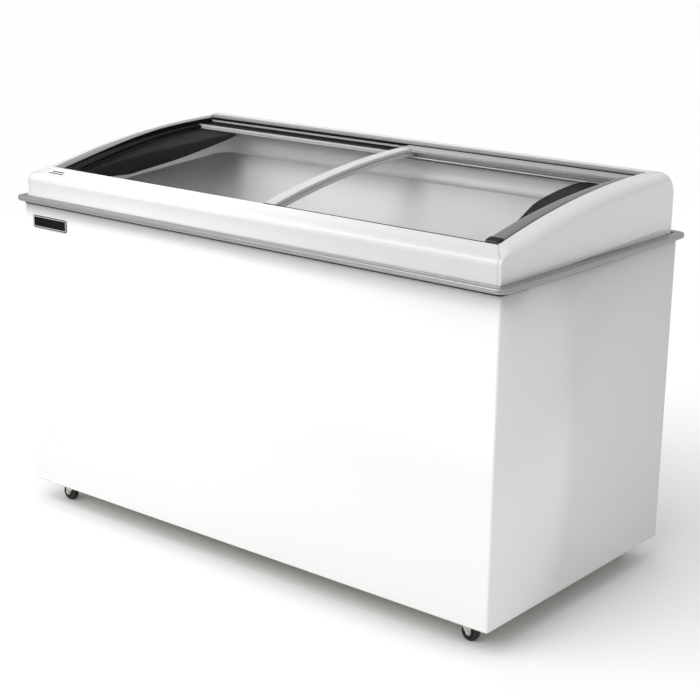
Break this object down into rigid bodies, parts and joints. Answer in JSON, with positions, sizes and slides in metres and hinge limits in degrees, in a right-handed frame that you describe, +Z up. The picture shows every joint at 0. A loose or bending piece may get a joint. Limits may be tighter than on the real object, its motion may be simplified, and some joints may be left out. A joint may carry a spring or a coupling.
{
  "type": "chest freezer",
  "caption": "White chest freezer with a crowned top frame, curved sliding glass lids, an aluminium bumper rail, a stepped tank over a compressor compartment, and swivel castors.",
  "frame": {"origin": "on the floor, under the middle of the overall box", "axes": "+X to the right along the longest side, +Y to the rear, +Z up; the low front sill faces -Y"},
  "size_m": [1.305, 0.673, 0.842],
  "materials": {
    "white_sheet": "gloss white stoved paint on sheet steel",
    "white_plastic": "gloss white moulded plastic",
    "grey_plastic": "satin light grey extruded plastic",
    "dark_plastic": "satin dark grey moulded plastic",
    "black_plastic": "satin black moulded plastic",
    "pale_plastic": "satin off-white moulded plastic",
    "satin_aluminium": "satin anodised",
    "liner_sheet": "stucco-free satin sheet",
    "lid_glass": "clear curved tempered glass",
    "zinc_steel": "zinc plated",
    "black_rubber": "matt black",
    "black_steel": "satin black enamel",
    "copper": "drawn copper tube",
    "foam": "rigid foamed insulation"
  },
  "bodies": {
    "cabinet": {"outer_wrap": "white_sheet", "rear_panel": "white_sheet", "base_pan": "zinc_steel", "insulation": "foam", "insulation_floor": "foam", "tank_liner": "liner_sheet", "tank_collar": "white_plastic", "front_sill": "white_plastic", "rear_sill": "white_plastic", "left_end_cap": "white_plastic", "right_end_cap": "white_plastic", "left_end_trim": "black_plastic", "right_end_trim": "black_plastic", "front_track": "black_plastic", "rear_track": "black_plastic", "bumper_rail": "satin_aluminium", "front_badge": "black_plastic", "side_grille": "white_plastic", "rear_grille": "black_plastic", "drain_tube": "pale_plastic", "power_inlet": "black_plastic", "thermostat_body": "pale_plastic", "compressor_base": "black_steel", "compressor": "black_steel", "compressor_terminal_box": "pale_plastic", "condenser": "satin_aluminium", "fan_shroud": "black_plastic", "fan_motor": "black_steel", "filter_drier": "copper", "evaporator_tube": "copper", "discharge_line": "copper", "suction_line": "copper", "liquid_line": "copper", "capillary_tube": "copper", "front_left_castor_plate": "zinc_steel", "front_right_castor_plate": "zinc_steel", "rear_left_castor_plate": "zinc_steel", "rear_right_castor_plate": "zinc_steel"},
    "right_lid": {"right_lid_glass": "lid_glass", "right_lid_centre_bar": "grey_plastic", "right_lid_grip": "dark_plastic", "right_lid_rear_rail": "grey_plastic", "right_lid_front_runner": "black_plastic"},
    "left_lid": {"left_lid_glass": "lid_glass", "left_lid_centre_bar": "grey_plastic", "left_lid_grip": "black_plastic", "left_lid_rear_rail": "black_plastic", "left_lid_front_runner": "black_plastic"},
    "front_left_fork": {"front_left_castor_fork": "zinc_steel"},
    "front_left_wheel": {"front_left_castor_wheel": "black_rubber"},
    "front_right_fork": {"front_right_castor_fork": "zinc_steel"},
    "front_right_wheel": {"front_right_castor_wheel": "black_rubber"},
    "rear_left_fork": {"rear_left_castor_fork": "zinc_steel"},
    "rear_left_wheel": {"rear_left_castor_wheel": "black_rubber"},
    "rear_right_fork": {"rear_right_castor_fork": "zinc_steel"},
    "rear_right_wheel": {"rear_right_castor_wheel": "black_rubber"},
    "fan": {"fan_blades": "black_plastic"},
    "thermostat_dial": {"thermostat_knob": "black_plastic"},
    "plug": {"drain_plug": "black_rubber"}
  },
  "joints": [
    {"name": "right_lid_slide", "type": "slide", "parent": "cabinet", "child": "right_lid", "axis": [1, 0, 0], "range_m": [-0.603, 0]},
    {"name": "left_lid_slide", "type": "slide", "parent": "cabinet", "child": "left_lid", "axis": [1, 0, 0], "range_m": [0, 0.537]},
    {"name": "front_left_swivel", "type": "hinge", "parent": "cabinet", "child": "front_left_fork", "pos_m": [-0.555, -0.272, 0.046], "axis": [0, 0, 1], "continuous": true},
    {"name": "front_left_roll", "type": "hinge", "parent": "front_left_fork", "child": "front_left_wheel", "pos_m": [-0.567, -0.272, 0.019], "axis": [0, 1, 0], "continuous": true},
    {"name": "front_right_swivel", "type": "hinge", "parent": "cabinet", "child": "front_right_fork", "pos_m": [0.555, -0.272, 0.046], "axis": [0, 0, 1], "continuous": true},
    {"name": "front_right_roll", "type": "hinge", "parent": "front_right_fork", "child": "front_right_wheel", "pos_m": [0.567, -0.272, 0.019], "axis": [0, 1, 0], "continuous": true},
    {"name": "rear_left_swivel", "type": "hinge", "parent": "cabinet", "child": "rear_left_fork", "pos_m": [-0.555, 0.272, 0.046], "axis": [0, 0, 1], "continuous": true},
    {"name": "rear_left_roll", "type": "hinge", "parent": "rear_left_fork", "child": "rear_left_wheel", "pos_m": [-0.567, 0.272, 0.019], "axis": [0, 1, 0], "continuous": true},
    {"name": "rear_right_swivel", "type": "hinge", "parent": "cabinet", "child": "rear_right_fork", "pos_m": [0.555, 0.272, 0.046], "axis": [0, 0, 1], "continuous": true},
    {"name": "rear_right_roll", "type": "hinge", "parent": "rear_right_fork", "child": "rear_right_wheel", "pos_m": [0.567, 0.272, 0.019], "axis": [0, 1, 0], "continuous": true},
    {"name": "fan_spin", "type": "hinge", "parent": "cabinet", "child": "fan", "pos_m": [-0.515, -0.176, 0.2], "axis": [0, 1, 0], "continuous": true},
    {"name": "thermostat_turn", "type": "hinge", "parent": "cabinet", "child": "thermostat_dial", "pos_m": [-0.636, -0.02, 0.33], "axis": [1, 0, 0], "range_deg": [-135, 135]},
    {"name": "drain_plug_pull", "type": "slide", "parent": "cabinet", "child": "plug", "axis": [0, 0, 1], "range_m": [0, 0.06]}
  ]
}
